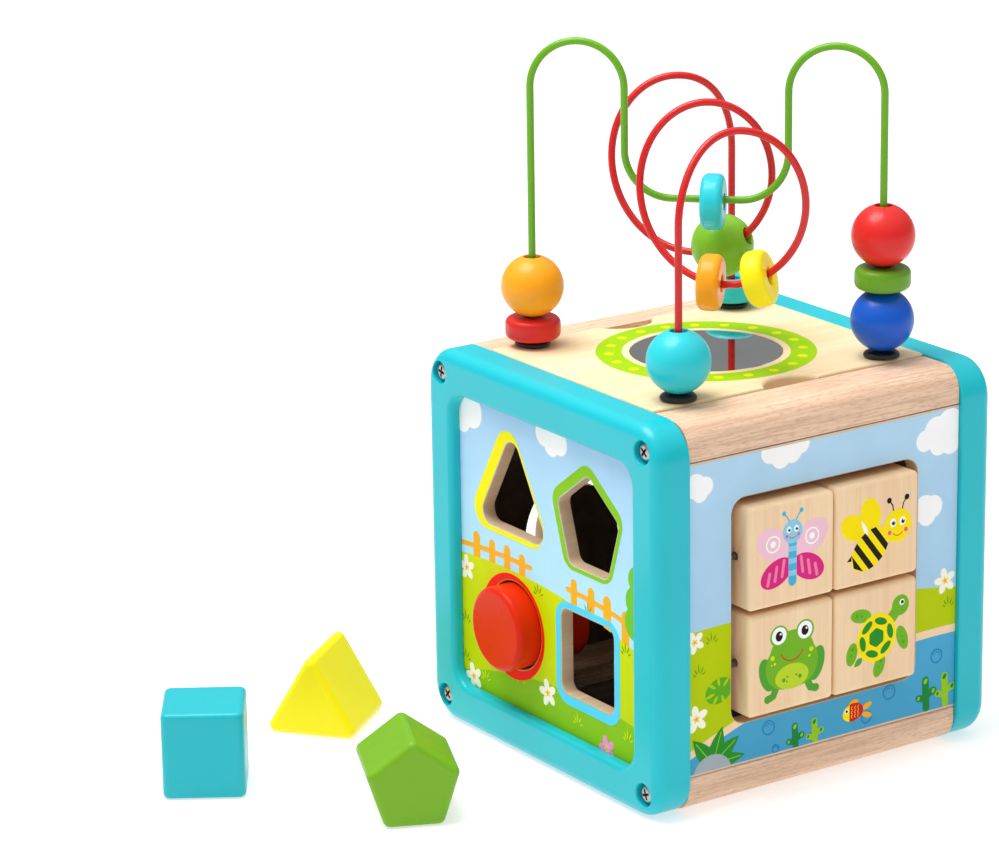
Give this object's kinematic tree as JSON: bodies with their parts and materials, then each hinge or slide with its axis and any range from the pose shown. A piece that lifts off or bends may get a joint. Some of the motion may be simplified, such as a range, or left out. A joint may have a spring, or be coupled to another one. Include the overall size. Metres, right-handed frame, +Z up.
{
  "type": "shape sorter activity cube",
  "caption": "Wooden activity cube: shape sorter face, turning-block puzzle, sliding track, and a lift-off lid with a mirror and a wire bead maze; blocks to post.",
  "frame": {"origin": "centre of the base panel's underside, on the surface the cube stands on", "axes": "+Z up; -Y towards the sorter face, +X towards the turning blocks"},
  "size_m": [0.2599, 0.385, 0.3598],
  "materials": {
    "teal_lacquer": "glossy teal lacquer over solid wood",
    "beech": "satin varnished beech",
    "pale_wood": "satin varnished pale maple plywood",
    "printed_board": "plywood printed with a sky and meadow picture, satin varnish",
    "steel": "zinc-plated steel",
    "mirror": "acrylic mirror",
    "black_plastic": "satin moulded",
    "green_coating": "gloss green coating on steel wire",
    "red_coating": "gloss red coating on steel wire",
    "red_lacquer": "gloss lacquer over turned wood",
    "orange_lacquer": "gloss lacquer over turned wood",
    "yellow_lacquer": "gloss lacquer over wood",
    "green_lacquer": "gloss lacquer over wood",
    "cyan_lacquer": "gloss lacquer over wood",
    "blue_lacquer": "gloss lacquer over turned wood"
  },
  "bodies": {
    "cube": {"front_frame": "teal_lacquer", "back_frame": "teal_lacquer", "upper_right_rail": "beech", "upper_left_rail": "beech", "lower_right_rail": "beech", "lower_left_rail": "beech", "sorter_panel": "printed_board", "back_panel": "printed_board", "puzzle_panel": "printed_board", "track_panel": "printed_board", "base_panel": "pale_wood", "lower_rod": "steel", "upper_rod": "steel", "front_screw_1": "steel", "front_screw_2": "steel", "front_screw_3": "steel", "front_screw_4": "steel", "back_screw_1": "steel", "back_screw_2": "steel", "back_screw_3": "steel", "back_screw_4": "steel"},
    "lid": {"lid": "pale_wood", "mirror": "mirror", "front_lid_batten": "pale_wood", "back_lid_batten": "pale_wood", "front_left_wire_foot": "black_plastic", "back_left_wire_foot": "black_plastic", "front_right_wire_foot": "black_plastic", "back_right_wire_foot": "black_plastic", "green_wire": "green_coating", "red_wire": "red_coating"},
    "upper_left_block": {"upper_left_block": "pale_wood"},
    "upper_right_block": {"upper_right_block": "pale_wood"},
    "lower_left_block": {"lower_left_block": "pale_wood"},
    "lower_right_block": {"lower_right_block": "pale_wood"},
    "red_disc": {"red_disc": "red_lacquer"},
    "orange_ball": {"orange_ball": "orange_lacquer"},
    "blue_ball": {"blue_ball": "blue_lacquer"},
    "green_disc": {"green_disc": "green_lacquer"},
    "red_ball": {"red_ball": "red_lacquer"},
    "cyan_ball": {"cyan_ball": "cyan_lacquer"},
    "back_cyan_disc": {"back_cyan_disc": "cyan_lacquer"},
    "dip_cyan_disc": {"dip_cyan_disc": "cyan_lacquer"},
    "orange_disc": {"orange_disc": "orange_lacquer"},
    "yellow_disc": {"yellow_disc": "yellow_lacquer"},
    "green_ball": {"green_ball": "green_lacquer"},
    "red_cylinder": {"red_cylinder": "red_lacquer"},
    "cyan_square_block": {"cyan_square_block": "cyan_lacquer"},
    "yellow_triangle_block": {"yellow_triangle_block": "yellow_lacquer"},
    "green_pentagon_block": {"green_pentagon_block": "green_lacquer"},
    "arch_slider": {"arch_knob": "red_lacquer", "arch_retainer": "pale_wood"},
    "trough_slider": {"trough_knob": "yellow_lacquer", "trough_retainer": "pale_wood"}
  },
  "joints": [
    {"name": "lid_lift", "type": "slide", "parent": "cube", "child": "lid", "axis": [0, 0, 1], "range_m": [0, 0.12]},
    {"name": "upper_left_block_spin", "type": "hinge", "parent": "cube", "child": "upper_left_block", "pos_m": [0.0933, -0.0266, 0.127], "axis": [0, 1, 0], "continuous": true},
    {"name": "upper_right_block_spin", "type": "hinge", "parent": "cube", "child": "upper_right_block", "pos_m": [0.0933, 0.0266, 0.127], "axis": [0, 1, 0], "continuous": true},
    {"name": "lower_left_block_spin", "type": "hinge", "parent": "cube", "child": "lower_left_block", "pos_m": [0.0933, -0.0266, 0.072], "axis": [0, 1, 0], "continuous": true},
    {"name": "lower_right_block_spin", "type": "hinge", "parent": "cube", "child": "lower_right_block", "pos_m": [0.0933, 0.0266, 0.072], "axis": [0, 1, 0], "continuous": true},
    {"name": "arch_slider_travel", "type": "hinge", "parent": "cube", "child": "arch_slider", "pos_m": [-0.0973, -0.016, 0.086], "axis": [1, 0, 0], "range_deg": [0, 140]},
    {"name": "trough_slider_travel", "type": "hinge", "parent": "cube", "child": "trough_slider", "pos_m": [-0.0973, 0.0355, 0.086], "axis": [1, 0, 0], "range_deg": [-55, 75]},
    {"name": "red_disc_slide", "type": "slide", "parent": "lid", "child": "red_disc", "axis": [0, 0, 1], "range_m": [0, 0.035]},
    {"name": "orange_ball_slide", "type": "slide", "parent": "red_disc", "child": "orange_ball", "axis": [0, 0, 1], "range_m": [0, 0.045]},
    {"name": "blue_ball_slide", "type": "slide", "parent": "lid", "child": "blue_ball", "axis": [0, 0, 1], "range_m": [0, 0.015]},
    {"name": "green_disc_slide", "type": "slide", "parent": "blue_ball", "child": "green_disc", "axis": [0, 0, 1], "range_m": [0, 0.015]},
    {"name": "red_ball_slide", "type": "slide", "parent": "green_disc", "child": "red_ball", "axis": [0, 0, 1], "range_m": [0, 0.02]},
    {"name": "cyan_ball_slide", "type": "slide", "parent": "lid", "child": "cyan_ball", "axis": [0, 0, 1], "range_m": [0, 0.045]},
    {"name": "back_cyan_disc_slide", "type": "slide", "parent": "lid", "child": "back_cyan_disc", "axis": [0, 0, 1], "range_m": [0, 0.065]},
    {"name": "dip_cyan_disc_slide", "type": "slide", "parent": "lid", "child": "dip_cyan_disc", "axis": [0.6992, 0.715, 0], "range_m": [-0.014, 0.0075]},
    {"name": "orange_disc_travel", "type": "hinge", "parent": "lid", "child": "orange_disc", "pos_m": [0.03, -0.01237, 0.28591], "axis": [-0.5143, 0.8571, -0.0286], "range_deg": [0, 20]},
    {"name": "yellow_disc_travel", "type": "hinge", "parent": "lid", "child": "yellow_disc", "pos_m": [0.03225, -0.01772, 0.28796], "axis": [-0.5312, 0.8417, 0.0973], "range_deg": [-20, 0]},
    {"name": "green_ball_travel", "type": "hinge", "parent": "lid", "child": "green_ball", "pos_m": [-0.02907, 0.0097, 0.2876], "axis": [-0.5275, 0.8451, 0.0873], "range_deg": [-8, 8]},
    {"name": "red_cylinder_push", "type": "slide", "parent": "cube", "child": "red_cylinder", "axis": [0, 1, 0], "range_m": [-0.04, 0.03]},
    {"name": "cyan_square_block_lift", "type": "slide", "parent": "cube", "child": "cyan_square_block", "axis": [0, 0, 1], "range_m": [0, 0.08]},
    {"name": "yellow_triangle_block_lift", "type": "slide", "parent": "cube", "child": "yellow_triangle_block", "axis": [0, 0, 1], "range_m": [0, 0.08]},
    {"name": "green_pentagon_block_lift", "type": "slide", "parent": "cube", "child": "green_pentagon_block", "axis": [0, 0, 1], "range_m": [0, 0.08]}
  ]
}
